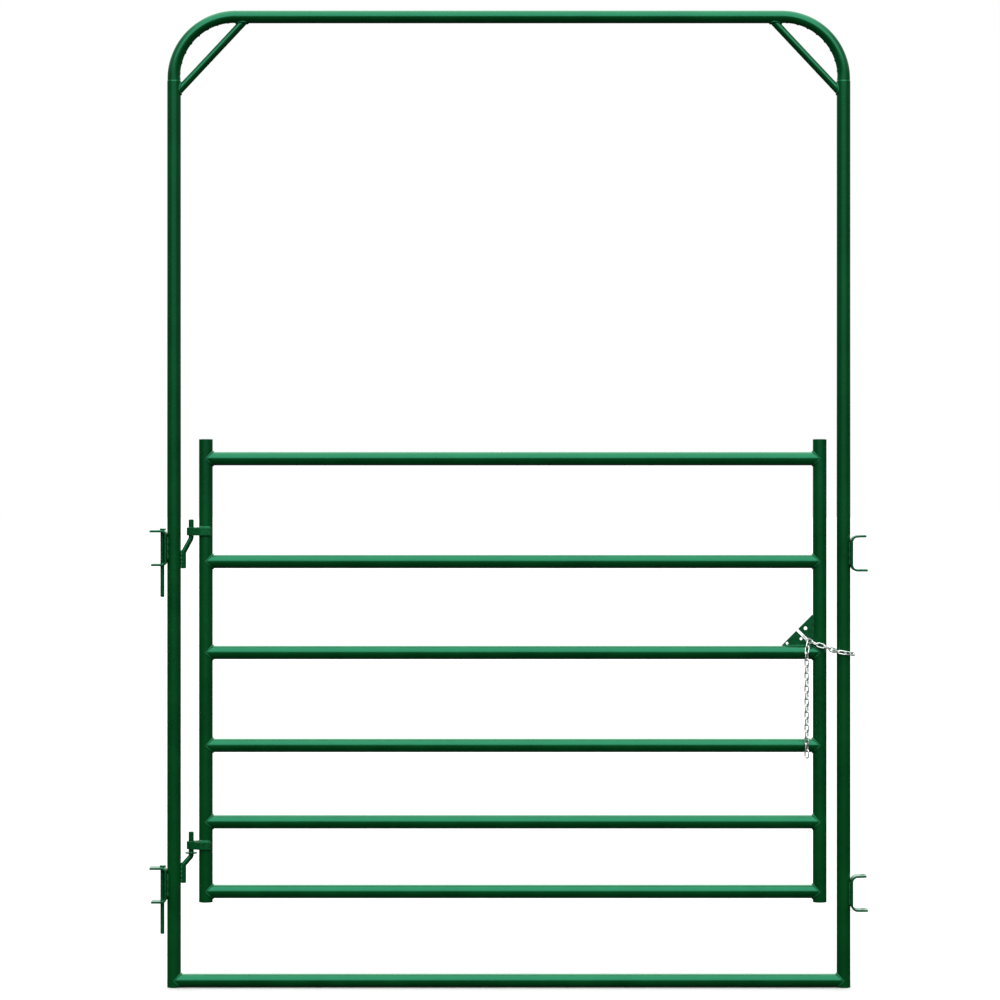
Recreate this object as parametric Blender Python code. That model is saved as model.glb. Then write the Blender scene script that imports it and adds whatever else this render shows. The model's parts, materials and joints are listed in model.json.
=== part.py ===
"""Ride-through livestock panel gate: a tall tube bow frame with a six-rail leaf on two pin hinges,
a chain latch, and coupling clips with drop pins on both sides. Metres, +Z up, front towards -Y."""

import math

import bmesh
import bpy
from mathutils import Matrix, Vector

# tube stock
TUBE_R = 0.01905
TUBE_WALL = 0.0016
BOW_R = 0.01825
GAP = 0.0003
TUBE_SIDES = 24
ROD_SIDES = 16

# frame
POST_X = 0.93345
POST_TOP = 2.529
BOW_AXIS_Z = 2.706
BOW_BEND_R = 0.172
BRACE_R = 0.0111
BRACE_POST_Z = 2.506
BRACE_BOW_X = 0.744

# leaf
HINGE_STILE_X = -0.8447
LATCH_STILE_X = 0.867
STILE_BOTTOM = 0.2376
STILE_TOP = 1.5282
RAIL_Z = (1.4741, 1.1874, 0.9337, 0.6746, 0.4615, 0.2674)

# hinges
PIN_X = -0.8857
PIN_R = 0.00715
EYE_BORE = 0.0003
EYE_THICK = 0.005
EYE_TALL = 0.0222
EYE_END_X = -0.830
EYE_KNEE_X = -0.858
UPPER_EYE_Z = 1.260
LOWER_EYE_Z = 0.3853
UPPER_ROD = {"bottom": 1.168, "bend": 1.213, "pin": 1.252, "top": 1.3045, "fillet": 0.020}
LOWER_ROD = {"bottom": 0.291, "bend": 0.342, "pin": 0.366, "top": 0.4338, "fillet": 0.012}
WASHER_R = 0.01625
WASHER_Z = 0.373
WASHER_THICK = 0.004

# coupling clips and drop pins
STRAP_THICK = 0.006
STRAP_WIDE = 0.045
LEFT_CLIP_TOPS = {"upper": 1.2716, "lower": 0.3322}
RIGHT_CLIP_TOPS = {"upper": 1.2566, "lower": 0.3092}
LIP_SPACING = 0.0938
LEFT_LIP_TIPS = (-1.0006, -0.996)
RIGHT_LIP_TIPS = (0.996, 0.9996)
LEFT_CORNER_R = 0.011
RIGHT_CORNER_R = 0.0155
RIGHT_LIP_RISE = 0.0015
DROP_PIN_X = -0.966
DROP_PIN_R = 0.00555
DROP_PIN_BELOW = 0.1867
PIN_HOLE_R = 0.00635
RIGHT_HOLE_X = 0.9872
HEAD_SIZE = (0.017, 0.013, 0.0045)

# latch plate
PLATE_THICK = 0.006
PLATE_LEG = 0.0857
PLATE_BLUNT = 0.0015
SLOT_WIDE = 0.0075
SLOT_DEPTH = 0.0436
PLATE_HOLES = ((0.8273, 1.001, 0.005), (0.815, 0.9717, 0.004), (0.776, 0.9592, 0.0038))

# latch chain
WIRE_R = 0.00178
LINK_WIDE = 0.015
LINK_LONG = 0.0267
WIRE_SIDES = 6
END_STEPS = 4
HOOK_INSET = 0.007
SLOT_LINK_DEPTH = 0.033
SLOT_LINK_TILT = math.radians(50)
SLOT_LINK_SPAN = 0.0182
LOOP_LINKS = 10
LOOP_R = 0.0279
LOOP_Z = 0.934
LOOP_SLOPE = -0.16
LOOP_START = math.radians(202)
RUN_GUIDE = ((0.8445, -0.0228, 0.9625), (0.8610, -0.0262, 0.9560), (0.8790, -0.0262, 0.9510))
RUN_LINKS = 5
TAIL_GUIDE = ((0.8290, -0.0262, 0.9430), (0.8290, -0.0262, 0.6440))
TAIL_LINKS = 18

for item in list(bpy.data.objects):
    bpy.data.objects.remove(item, do_unlink=True)


def material(name, colour, metallic, roughness):
    made = bpy.data.materials.new(name)
    made.use_nodes = True
    shader = made.node_tree.nodes["Principled BSDF"]
    shader.inputs["Base Color"].default_value = (*colour, 1.0)
    shader.inputs["Metallic"].default_value = metallic
    shader.inputs["Roughness"].default_value = roughness
    return made


def green(name):
    return material(name + "_paint", (0.005, 0.10, 0.03), 0.0, 0.32)


def zinc(name):
    return material(name + "_zinc", (0.72, 0.75, 0.73), 1.0, 0.3)


def add_object(name, mesh, mat, smooth=True):
    for face in mesh.polygons:
        face.use_smooth = smooth
    mesh.materials.append(mat)
    made = bpy.data.objects.new(name, mesh)
    bpy.context.scene.collection.objects.link(made)
    return made


def circle(radius, sides):
    return [(radius * math.cos(2 * math.pi * k / sides), radius * math.sin(2 * math.pi * k / sides))
            for k in range(sides)]


def rectangle(thick, wide):
    return [(thick / 2, wide / 2), (-thick / 2, wide / 2), (-thick / 2, -wide / 2), (thick / 2, -wide / 2)]


def rounded(points, radius, steps):
    """A polyline with each inner corner replaced by an arc."""
    out = [Vector(points[0])]
    for before, corner, after in zip(points, points[1:], points[2:]):
        corner = Vector(corner)
        d1 = (corner - Vector(before)).normalized()
        d2 = (Vector(after) - corner).normalized()
        turn = d1.angle(d2)
        side = (d2 - d1 * d1.dot(d2)).normalized()
        start = corner - d1 * radius * math.tan(turn / 2)
        for step in range(steps + 1):
            a = turn * step / steps
            out.append(start + d1 * radius * math.sin(a) + side * radius * (1 - math.cos(a)))
    out.append(Vector(points[-1]))
    return out


def sections(path, normal, profile, closed):
    """The profile placed at every point of a path that is flat across the normal."""
    normal = Vector(normal)
    count = len(path)
    rings = []
    for i, point in enumerate(path):
        ahead = (path[(i + 1) % count] - point) if closed or i < count - 1 else (point - path[i - 1])
        behind = (point - path[i - 1]) if closed or i > 0 else ahead
        ahead = ahead.normalized()
        behind = behind.normalized()
        along = (ahead + behind).normalized()
        side = normal.cross(along)
        stretch = 1.0 / max(along.dot(ahead), 0.2)
        rings.append([point + side * s * stretch + normal * n for s, n in profile])
    return rings


def sweep_mesh(name, path, normal, profile, bore=None, closed=False):
    """A closed body that carries the profile along the path, with an optional through bore."""
    path = [Vector(p) for p in path]
    bm = bmesh.new()
    skins = []
    for shape, inward in ((profile, False), (bore, True)):
        if shape is None:
            continue
        rings = [[bm.verts.new(p) for p in ring] for ring in sections(path, normal, shape, closed)]
        size = len(shape)
        spans = len(rings) if closed else len(rings) - 1
        for i in range(spans):
            a = rings[i]
            b = rings[(i + 1) % len(rings)]
            for k in range(size):
                quad = (a[k], a[(k + 1) % size], b[(k + 1) % size], b[k])
                bm.faces.new(quad[::-1] if inward else quad)
        skins.append(rings)
    if not closed and bore is None:
        bm.faces.new(skins[0][0][::-1])
        bm.faces.new(skins[0][-1])
    if not closed and bore is not None:
        size = len(profile)
        for end, flip in ((0, False), (-1, True)):
            outer = skins[0][end]
            inner = skins[1][end]
            for k in range(size):
                quad = (outer[k], inner[k], inner[(k + 1) % size], outer[(k + 1) % size])
                bm.faces.new(quad[::-1] if flip else quad)
    bmesh.ops.recalc_face_normals(bm, faces=bm.faces)
    mesh = bpy.data.meshes.new(name)
    bm.to_mesh(mesh)
    bm.free()
    return mesh


def tube(name, path, normal, radius):
    mesh = sweep_mesh(name, path, normal, circle(radius, TUBE_SIDES), circle(radius - TUBE_WALL, TUBE_SIDES))
    return add_object(name, mesh, green(name))


def rod(name, path, normal, radius):
    return add_object(name, sweep_mesh(name, path, normal, circle(radius, ROD_SIDES)), green(name))


def cutter(name, path, normal, profile):
    made = bpy.data.objects.new(name, sweep_mesh(name, path, normal, profile))
    bpy.context.scene.collection.objects.link(made)
    made.hide_render = True
    made.display_type = "WIRE"
    return made


def combine(body, tool, operation="DIFFERENCE"):
    step = body.modifiers.new(tool.name, "BOOLEAN")
    step.operation = operation
    step.solver = "EXACT"
    step.object = tool


def upright(x, low, high):
    return [(x, 0.0, low), (x, 0.0, high)]


def clearance(name, path, radius):
    return cutter(name, path, (0, 1, 0), circle(radius + GAP, TUBE_SIDES))


# frame posts, bow and bottom rail
left_clear = clearance("cut_post_left", upright(-POST_X, -0.1, 2.7), TUBE_R)
right_clear = clearance("cut_post_right", upright(POST_X, -0.1, 2.7), TUBE_R)
bow_clear = clearance("cut_bow", [(-1.2, 0, BOW_AXIS_Z), (1.2, 0, BOW_AXIS_Z)], BOW_R)

tube("frame_post_left", upright(-POST_X, 0.0, POST_TOP), (0, 1, 0), TUBE_R)
tube("frame_post_right", upright(POST_X, 0.0, POST_TOP), (0, 1, 0), TUBE_R)

bow_path = rounded(
    [
        (-POST_X, 0, POST_TOP + GAP),
        (-POST_X, 0, BOW_AXIS_Z),
        (POST_X, 0, BOW_AXIS_Z),
        (POST_X, 0, POST_TOP + GAP),
    ],
    BOW_BEND_R,
    8,
)
tube("top_bow", bow_path, (0, 1, 0), BOW_R)

bottom_rail = tube("bottom_rail", [(-POST_X, 0, TUBE_R), (POST_X, 0, TUBE_R)], (0, 1, 0), TUBE_R)
combine(bottom_rail, left_clear)
combine(bottom_rail, right_clear)

# corner braces, each a round bar from the post's inner face to the underside of the bow
brace_rise = (BOW_AXIS_Z - BOW_R - BRACE_POST_Z) / (POST_X - TUBE_R - BRACE_BOW_X)
for side, word, post_clear in ((-1, "left", left_clear), (1, "right", right_clear)):
    foot = (side * POST_X, 0, BRACE_POST_Z - TUBE_R * brace_rise)
    head_x = BRACE_BOW_X - BOW_R / brace_rise
    head = (side * head_x, 0, BOW_AXIS_Z)
    brace = rod(f"corner_brace_{word}", [foot, head], (0, 1, 0), BRACE_R)
    combine(brace, post_clear)
    combine(brace, bow_clear)

# leaf stiles and rails
hinge_stile_clear = clearance("cut_stile_hinge", upright(HINGE_STILE_X, 0.1, 1.7), TUBE_R)
latch_stile_clear = clearance("cut_stile_latch", upright(LATCH_STILE_X, 0.1, 1.7), TUBE_R)
tube("gate_stile_hinge_side", upright(HINGE_STILE_X, STILE_BOTTOM, STILE_TOP), (0, 1, 0), TUBE_R)
tube("gate_stile_latch_side", upright(LATCH_STILE_X, STILE_BOTTOM, STILE_TOP), (0, 1, 0), TUBE_R)
for number, z in enumerate(RAIL_Z, 1):
    rail = tube(f"rail_{number}", [(HINGE_STILE_X, 0, z), (LATCH_STILE_X, 0, z)], (0, 1, 0), TUBE_R)
    combine(rail, hinge_stile_clear)
    combine(rail, latch_stile_clear)

# hinge rods: a leg along the post that cranks out into an upright pin
leg_x = -POST_X + TUBE_R + GAP + PIN_R
for word, form in (("upper", UPPER_ROD), ("lower", LOWER_ROD)):
    leg = [(leg_x, 0, form["bottom"]), (leg_x, 0, form["bend"])]
    pin = [(PIN_X, 0, form["pin"]), (PIN_X, 0, form["top"])]
    rod(f"hinge_rod_{word}", rounded(leg + pin, form["fillet"], 4), (0, 1, 0), PIN_R)

washer = sweep_mesh(
    "hinge_washer_lower",
    upright(PIN_X, WASHER_Z, WASHER_Z + WASHER_THICK),
    (0, 1, 0),
    circle(WASHER_R, TUBE_SIDES),
    circle(PIN_R + GAP, TUBE_SIDES),
)
add_object("hinge_washer_lower", washer, green("hinge_washer_lower"))

# hinge eyes: a flat strap wrapped round the pin, its two ends on the front and back of the stile
wrap_r = PIN_R + EYE_BORE + EYE_THICK / 2
knee = Vector((EYE_KNEE_X - PIN_X, -(TUBE_R + GAP + EYE_THICK / 2), 0))
reach = math.atan2(knee.y, knee.x) - math.acos(wrap_r / knee.length)
for word, low in (("upper", UPPER_EYE_Z), ("lower", LOWER_EYE_Z)):
    z = low + EYE_TALL / 2
    turn = [
        (PIN_X + wrap_r * math.cos(a), wrap_r * math.sin(a), z)
        for a in [reach - (2 * math.pi + 2 * reach) * k / 10 for k in range(11)]
    ]
    front_knee = (EYE_KNEE_X, knee.y, z)
    back_knee = (EYE_KNEE_X, -knee.y, z)
    front = rounded([(EYE_END_X, knee.y, z), front_knee, turn[0]], 0.008, 3)[:-1]
    back = rounded([turn[-1], back_knee, (EYE_END_X, -knee.y, z)], 0.008, 3)[1:]
    path = front + [Vector(p) for p in turn] + back
    eye = sweep_mesh(f"hinge_eye_{word}", path, (0, 0, 1), rectangle(EYE_THICK, EYE_TALL))
    add_object(f"hinge_eye_{word}", eye, green(f"hinge_eye_{word}"), smooth=False)


# coupling clips: a flat strap bent into a U, its web against the post
def clip(name, web_x, tips, top_z, corner_r, rise, hole_x):
    low_z = top_z - LIP_SPACING
    path = rounded(
        [(tips[0], 0, top_z + rise), (web_x, 0, top_z), (web_x, 0, low_z), (tips[1], 0, low_z)], corner_r, 4
    )
    mesh = sweep_mesh(name, path, (0, 1, 0), rectangle(STRAP_THICK, STRAP_WIDE))
    body = add_object(name, mesh, green(name), smooth=False)
    hole = [(hole_x, 0, low_z - 0.02), (hole_x, 0, top_z + 0.02)]
    combine(body, cutter("cut_" + name, hole, (0, 1, 0), circle(PIN_HOLE_R, ROD_SIDES)))


web = POST_X + TUBE_R + GAP + STRAP_THICK / 2
for word, top_z in LEFT_CLIP_TOPS.items():
    clip(f"clip_left_{word}", -web, LEFT_LIP_TIPS, top_z, LEFT_CORNER_R, 0.0, DROP_PIN_X)
for word, top_z in RIGHT_CLIP_TOPS.items():
    clip(f"clip_right_{word}", web, RIGHT_LIP_TIPS, top_z, RIGHT_CORNER_R, RIGHT_LIP_RISE, RIGHT_HOLE_X)

# drop pins: a round pin with a flat head that rests on the upper lip
for word, top_z in LEFT_CLIP_TOPS.items():
    seat = top_z + STRAP_THICK / 2 + GAP
    name = f"drop_pin_{word}"
    shank = [(0, 0, -DROP_PIN_BELOW), (0, 0, HEAD_SIZE[2] / 2)]
    mesh = sweep_mesh(name, shank, (0, 1, 0), circle(DROP_PIN_R, ROD_SIDES))
    pin = add_object(name, mesh, green(name))
    pin.location = (DROP_PIN_X, 0, seat)
    head_path = [(-HEAD_SIZE[0] / 2, 0, HEAD_SIZE[2] / 2), (HEAD_SIZE[0] / 2, 0, HEAD_SIZE[2] / 2)]
    head = cutter("head_" + name, head_path, (0, 1, 0), rectangle(HEAD_SIZE[2], HEAD_SIZE[1]))
    head.location = (DROP_PIN_X + 0.0015, 0, seat)
    combine(pin, head, "UNION")

# latch plate: a triangle in the corner above a rail, with an angled slot for the chain
corner = Vector((LATCH_STILE_X - TUBE_R - 0.00035, 0, RAIL_Z[2] + TUBE_R + 0.00035))
outline = [
    corner,
    corner + Vector((0, 0, PLATE_LEG)),
    corner + Vector((-PLATE_BLUNT, 0, PLATE_LEG)),
    corner + Vector((-PLATE_LEG, 0, PLATE_BLUNT)),
    corner + Vector((-PLATE_LEG, 0, 0)),
]
bm = bmesh.new()
front_loop = [bm.verts.new(p + Vector((0, -PLATE_THICK / 2, 0))) for p in outline]
back_loop = [bm.verts.new(p + Vector((0, PLATE_THICK / 2, 0))) for p in outline]
bm.faces.new(front_loop)
bm.faces.new(back_loop[::-1])
for k in range(len(outline)):
    following = (k + 1) % len(outline)
    bm.faces.new((front_loop[k], back_loop[k], back_loop[following], front_loop[following]))
bmesh.ops.recalc_face_normals(bm, faces=bm.faces)
plate_mesh = bpy.data.meshes.new("latch_plate")
bm.to_mesh(plate_mesh)
bm.free()
plate = add_object("latch_plate", plate_mesh, green("latch_plate"), smooth=False)

inward = Vector((1, 0, -1)).normalized()
mouth = corner + Vector((-PLATE_LEG - PLATE_BLUNT, 0, PLATE_LEG + PLATE_BLUNT)) / 2
slot_start = mouth - inward * 0.01
slot_end = mouth + inward * (SLOT_DEPTH - SLOT_WIDE / 2)
slot_box = cutter("cut_slot", [slot_start, slot_end], (0, 1, 0), rectangle(SLOT_WIDE, 0.02))
combine(plate, slot_box)


def drill(name, x, z, radius):
    combine(plate, cutter(name, [(x, -0.01, z), (x, 0.01, z)], (0, 0, 1), circle(radius, ROD_SIDES)))


drill("cut_slot_end", slot_end.x, slot_end.z, SLOT_WIDE / 2)
for number, (x, z, radius) in enumerate(PLATE_HOLES, 1):
    drill(f"cut_plate_{number}", x, z, radius)


# latch chain: every link is one bent wire, placed between two joint points
TIP = (LINK_LONG / 2 - WIRE_R) - SLOT_LINK_SPAN / 2


def link_mesh():
    bend = LINK_WIDE / 2 - WIRE_R
    half = LINK_LONG / 2 - WIRE_R - bend
    path = []
    for centre, start in ((half, -math.pi / 2), (-half, math.pi / 2)):
        for step in range(END_STEPS + 1):
            a = start + math.pi * step / END_STEPS
            path.append((centre + bend * math.cos(a), bend * math.sin(a), 0))
    return sweep_mesh("chain_link", path, (0, 0, 1), circle(WIRE_R, WIRE_SIDES), closed=True)


shared_link = link_mesh()
shared_link.materials.append(zinc("chain_link"))
for polygon in shared_link.polygons:
    polygon.use_smooth = True


def place_link(name, start, end, across):
    """One link from joint to joint, its width along the across direction."""
    along = (end - start).normalized()
    across = (across - along * across.dot(along)).normalized()
    made = bpy.data.objects.new(name, shared_link)
    bpy.context.scene.collection.objects.link(made)
    made.rotation_euler = Matrix((along, across, along.cross(across))).transposed().to_euler()
    made.location = (start + end) / 2
    return across


def evenly(line, count):
    """Points at equal distances along a polyline."""
    line = [Vector(p) for p in line]
    legs = [(b - a).length for a, b in zip(line, line[1:])]
    points = [line[0]]
    for number in range(1, count):
        left = sum(legs) * number / count
        leg = 0
        while left > legs[leg]:
            left -= legs[leg]
            leg += 1
        points.append(line[leg].lerp(line[leg + 1], left / legs[leg]))
    return points + [line[-1]]


def lay_chain(prefix, points, across):
    """Links from joint to joint, each a quarter turn on from the last."""
    for number, (start, end) in enumerate(zip(points, points[1:]), 1):
        across = place_link(f"{prefix}_{number:02d}", start, end, across)
        across = Matrix.Rotation(math.pi / 2, 3, (end - start).normalized()) @ across


# closed loop round the frame post
loop = []
for k in range(LOOP_LINKS + 1):
    a = LOOP_START + 2 * math.pi * k / LOOP_LINKS
    x = LOOP_R * math.cos(a)
    loop.append(Vector((POST_X + x, LOOP_R * math.sin(a), LOOP_Z + LOOP_SLOPE * x)))
first = (loop[1] - loop[0]).normalized()
hook = loop[0] + first * HOOK_INSET
arrive = (hook - Vector(RUN_GUIDE[-1])).normalized()
for number, (start, end) in enumerate(zip(loop, loop[1:]), 1):
    middle = (start + end) / 2 - Vector((POST_X, 0, LOOP_Z))
    outward = Vector((middle.x, middle.y, 0)).normalized()
    tilt = Vector((0, 0, 1 if number % 2 else -1))
    across = outward + tilt - arrive * (3 if number == 1 else 0)
    place_link(f"chain_loop_{number:02d}", start, end, across)

# the link dropped into the plate's slot, and the run from it to the loop's first link
slot_centre = mouth + inward * SLOT_LINK_DEPTH
lean = inward * math.cos(SLOT_LINK_TILT) + Vector((0, -1, 0)) * math.sin(SLOT_LINK_TILT)
slot_front = slot_centre + lean * SLOT_LINK_SPAN / 2
slot_width = inward * math.sin(SLOT_LINK_TILT) + Vector((0, 1, 0)) * math.cos(SLOT_LINK_TILT)
place_link("chain_slot_link", slot_centre - lean * SLOT_LINK_SPAN / 2, slot_front, slot_width)

run = evenly([slot_front, *RUN_GUIDE, hook - arrive * TIP], RUN_LINKS)
lay_chain("chain_run", run[:-1], Vector((1, 0, 1)))
place_link(f"chain_run_{RUN_LINKS:02d}", run[-2], run[-1], first.cross(arrive))

# the tail hangs from the run's first link, in front of the rails
out = (run[1] - run[0]).normalized()
hang = run[0] + out * HOOK_INSET
leave = (Vector(TAIL_GUIDE[0]) - hang).normalized()
tail = evenly([hang + leave * TIP, *TAIL_GUIDE], TAIL_LINKS)
lay_chain("chain_tail", tail, out.cross(Vector((1, 0, 1))))
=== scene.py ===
import json
import math
import bmesh
import bpy
import numpy as np
from mathutils import Matrix, Vector


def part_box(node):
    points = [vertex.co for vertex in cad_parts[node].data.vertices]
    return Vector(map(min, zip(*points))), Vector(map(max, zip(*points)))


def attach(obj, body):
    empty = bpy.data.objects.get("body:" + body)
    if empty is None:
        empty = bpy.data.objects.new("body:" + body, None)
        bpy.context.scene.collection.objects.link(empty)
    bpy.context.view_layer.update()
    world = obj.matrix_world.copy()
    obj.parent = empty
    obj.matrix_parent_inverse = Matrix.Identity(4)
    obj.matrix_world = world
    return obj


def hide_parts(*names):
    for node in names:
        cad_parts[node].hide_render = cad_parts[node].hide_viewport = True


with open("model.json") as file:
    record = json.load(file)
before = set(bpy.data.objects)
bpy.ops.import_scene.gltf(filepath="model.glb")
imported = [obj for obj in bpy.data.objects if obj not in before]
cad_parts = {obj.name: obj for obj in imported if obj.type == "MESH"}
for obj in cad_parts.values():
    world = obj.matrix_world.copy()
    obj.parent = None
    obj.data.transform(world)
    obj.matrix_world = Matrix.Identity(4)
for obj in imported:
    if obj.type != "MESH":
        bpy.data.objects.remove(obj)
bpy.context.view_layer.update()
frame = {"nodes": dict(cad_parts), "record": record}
print("stage: frame loaded,", len(frame["nodes"]), "CAD nodes")


def hexColour(code, alpha=1.0):
    # sRGB hex to the linear values that the shaders take
    parts = [int(code[i:i + 2], 16) / 255 for i in (1, 3, 5)]
    linear = [c / 12.92 if c <= 0.04045 else ((c + 0.055) / 1.055) ** 2.4 for c in parts]
    return (*linear, alpha)


def addNode(tree, kind, inputs=None, **settings):
    node = tree.nodes.new(kind)
    for key, value in settings.items():
        setattr(node, key, value)
    for key, value in (inputs or {}).items():
        if isinstance(value, bpy.types.NodeSocket):
            tree.links.new(value, node.inputs[key])
        else:
            node.inputs[key].default_value = value
    return node


def centreOf(node):
    low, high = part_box(node)
    return (low + high) / 2


def meshObject(name, bm, materials, sharpAngle=35):
    bmesh.ops.recalc_face_normals(bm, faces=bm.faces)
    mesh = bpy.data.meshes.new(name)
    bm.to_mesh(mesh)
    bm.free()
    for material in materials:
        mesh.materials.append(material)
    made = bpy.data.objects.new(name, mesh)
    bpy.context.scene.collection.objects.link(made)
    shadeSmooth(made, sharpAngle)
    return made


def shadeSmooth(piece, sharpAngle=35):
    piece.data.shade_smooth()
    piece.data.set_sharp_from_angle(angle=math.radians(sharpAngle))


def bakeModifiers(piece):
    # the evaluated shape becomes the piece's own plain mesh
    graph = bpy.context.evaluated_depsgraph_get()
    mesh = bpy.data.meshes.new_from_object(piece.evaluated_get(graph))
    piece.modifiers.clear()
    piece.data = mesh
    return piece


def evenNormals(piece, sharpAngle=35):
    # large flats keep their own normal, and the narrow broken edges take the turn
    shadeSmooth(piece, sharpAngle)
    weighted = piece.modifiers.new("normals", "WEIGHTED_NORMAL")
    weighted.keep_sharp = True
    weighted.weight = 100
    return bakeModifiers(piece)


def standFor(piece, body, slotName, *nodes):
    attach(piece, body)
    if nodes:
        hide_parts(*nodes)
    return piece


def roundedPath(points, radius, steps):
    # a polyline whose inner corners are arcs
    out = [Vector(points[0])]
    for before, corner, after in zip(points, points[1:], points[2:]):
        corner = Vector(corner)
        into = (corner - Vector(before)).normalized()
        away = (Vector(after) - corner).normalized()
        turn = into.angle(away)
        side = (away - into * into.dot(away)).normalized()
        start = corner - into * radius * math.tan(turn / 2)
        for step in range(steps + 1):
            a = turn * step / steps
            out.append(start + into * radius * math.sin(a) + side * radius * (1 - math.cos(a)))
    out.append(Vector(points[-1]))
    return out


def pathFrames(path, normal):
    # at each point of a flat path: the point, the sideways direction and the mitre stretch
    normal = Vector(normal)
    frames = []
    for i, point in enumerate(path):
        ahead = (path[min(i + 1, len(path) - 1)] - path[min(i, len(path) - 2)]).normalized()
        behind = (path[max(i, 1)] - path[max(i - 1, 0)]).normalized()
        along = (ahead + behind).normalized()
        frames.append((point, normal.cross(along), 1.0 / max(along.dot(ahead), 0.3), along))
    return frames


def ringLoft(bm, rings, wrap=False, bore=()):
    # quads between neighbouring rings, wrapped round or capped, with the bore rows in the second material
    rows = [[bm.verts.new(p) for p in ring] for ring in rings]
    pairs = list(zip(rows, rows[1:])) + ([(rows[-1], rows[0])] if wrap else [])
    size = len(rings[0])
    for number, (a, b) in enumerate(pairs):
        for k in range(size):
            face = bm.faces.new((a[k], a[(k + 1) % size], b[(k + 1) % size], b[k]))
            face.material_index = 1 if number in bore else 0
    if not wrap:
        bm.faces.new(rows[0][::-1])
        bm.faces.new(rows[-1])
    return rows


# gloss polyester powder coat baked on steel: a deep even green, wet-looking highlights,
# and a faint orange peel where the powder flowed out
powderCoat = {
    "green": "#033913",
    "greenThin": "#06451A",       # where the film is a little thinner over the steel
    "patchSize": 0.13,            # metres across one lighter or darker patch
    "peelSize": 0.007,            # real orange peel is 2 to 3 mm, drawn coarser so that it shows
    "peelHeight": 0.000016,
    "ior": 1.8,                   # a resin-rich gloss coat with a strong sheen
    "specularTint": "#6CFFC8",
    "roughness": (0.16, 0.22),
}
# the same coat over a hand-run weld: lumpier and duller, with fine spatter
weldCoat = dict(powderCoat, peelSize=0.0016, peelHeight=0.0001, roughness=(0.26, 0.40))
# the same coat over hot-rolled flat strap: the mill surface shows through as a slow waviness
strapCoat = dict(powderCoat, peelSize=0.005, peelHeight=0.00003, roughness=(0.22, 0.34))


def paintFinish(name, look):
    material = bpy.data.materials.new(name)
    material.use_nodes = True
    tree = material.node_tree
    shader = tree.nodes["Principled BSDF"]
    place = addNode(tree, "ShaderNodeTexCoord").outputs["Object"]
    patches = addNode(tree, "ShaderNodeTexNoise",
                      {"Vector": place, "Scale": 1 / look["patchSize"], "Detail": 3.0, "Roughness": 0.55})
    fine = addNode(tree, "ShaderNodeTexNoise", {"Vector": place, "Scale": 1 / 0.011, "Detail": 2.0})
    blendShare = addNode(tree, "ShaderNodeMapRange",
                         {"Value": patches.outputs["Fac"], "From Min": 0.35, "From Max": 0.68})
    colour = addNode(tree, "ShaderNodeMix",
                     {"Factor": blendShare.outputs["Result"], "A": hexColour(look["green"]),
                      "B": hexColour(look["greenThin"])}, data_type="RGBA")
    rough = addNode(tree, "ShaderNodeMapRange",
                    {"Value": fine.outputs["Fac"], "From Min": 0.3, "From Max": 0.7,
                     "To Min": look["roughness"][0], "To Max": look["roughness"][1]})
    peel = addNode(tree, "ShaderNodeTexNoise",
                   {"Vector": place, "Scale": 1 / look["peelSize"], "Detail": 1.5, "Roughness": 0.4})
    bump = addNode(tree, "ShaderNodeBump",
                   {"Height": peel.outputs["Fac"], "Strength": 1.0, "Distance": look["peelHeight"]})
    tree.links.new(colour.outputs["Result"], shader.inputs["Base Color"])
    tree.links.new(rough.outputs["Result"], shader.inputs["Roughness"])
    tree.links.new(bump.outputs["Normal"], shader.inputs["Normal"])
    shader.inputs["IOR"].default_value = look["ior"]
    shader.inputs["Specular Tint"].default_value = hexColour(look["specularTint"])
    return material


# bright zinc electroplate on drawn wire: near-white metal, soft mirror, faint cloudy passivation, and a painted
# dark green reflection and shade at the edges where the wire turns away
zincPlate = {"bright": "#FAFCFB", "cloudy": "#E4EBE8", "cloudSize": 0.009, "roughness": (0.2, 0.36),
             "dieMarkSize": 0.0012, "dieMarkHeight": 0.00002, "metallic": 0.8,
             "edge": "#1F5A41", "paintedReflectionReach": 0.42}
# bare mill steel inside the tubes: dull grey-brown scale that the powder doesn't reach
millScale = {"steel": "#3A3D3B", "rust": "#4A3526", "patchSize": 0.012, "roughness": 0.62}


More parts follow.
